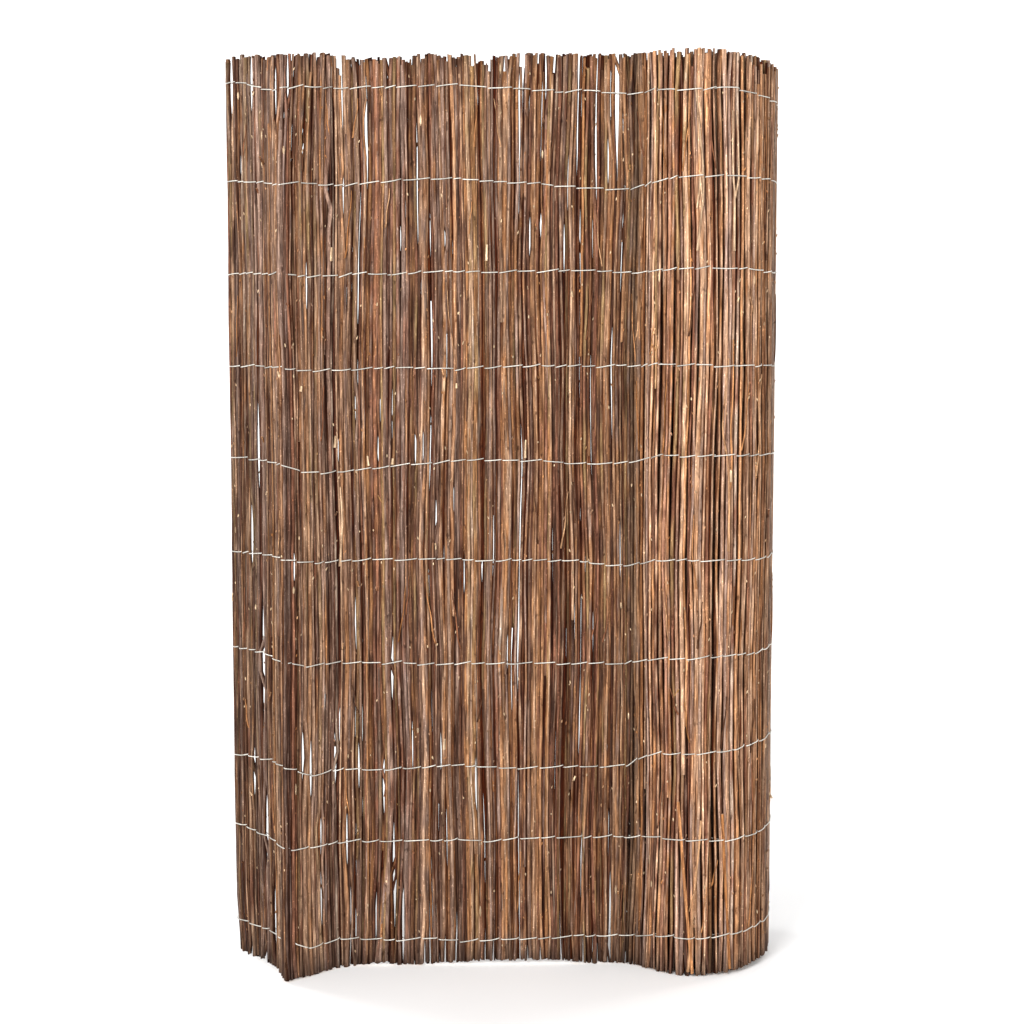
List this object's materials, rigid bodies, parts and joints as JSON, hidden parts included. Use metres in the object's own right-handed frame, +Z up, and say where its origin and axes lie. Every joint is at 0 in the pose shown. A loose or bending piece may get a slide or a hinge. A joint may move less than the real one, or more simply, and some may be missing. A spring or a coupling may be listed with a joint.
{
  "type": "willow fence",
  "caption": "Willow screening mat of thin rods bound by rows of twisted wire, standing on its rod ends with one end opened flat and the rest wound in a loose roll.",
  "frame": {"origin": "on the ground, under the middle of the mat's plan: the free edge is at -X and the roll at +X", "axes": "+Z up along the rods, +X along the open sheet towards the roll, -Y is the side that the sheet shows in the picture"},
  "size_m": [0.9113, 0.2912, 1.5],
  "materials": {
    "willow_rods": "dry willow bark, matt, in mixed browns and greys",
    "galvanised_wire": "dull galvanised wire"
  },
  "bodies": {
    "root": {"willow_mat": "willow_rods", "wire_row_01_a": "galvanised_wire", "wire_row_01_b": "galvanised_wire", "wire_row_02_a": "galvanised_wire", "wire_row_02_b": "galvanised_wire", "wire_row_03_a": "galvanised_wire", "wire_row_03_b": "galvanised_wire", "wire_row_04_a": "galvanised_wire", "wire_row_04_b": "galvanised_wire", "wire_row_05_a": "galvanised_wire", "wire_row_05_b": "galvanised_wire", "wire_row_06_a": "galvanised_wire", "wire_row_06_b": "galvanised_wire", "wire_row_07_a": "galvanised_wire", "wire_row_07_b": "galvanised_wire", "wire_row_08_a": "galvanised_wire", "wire_row_08_b": "galvanised_wire", "wire_row_09_a": "galvanised_wire", "wire_row_09_b": "galvanised_wire", "wire_row_10_a": "galvanised_wire", "wire_row_10_b": "galvanised_wire"}
  },
  "joints": []
}
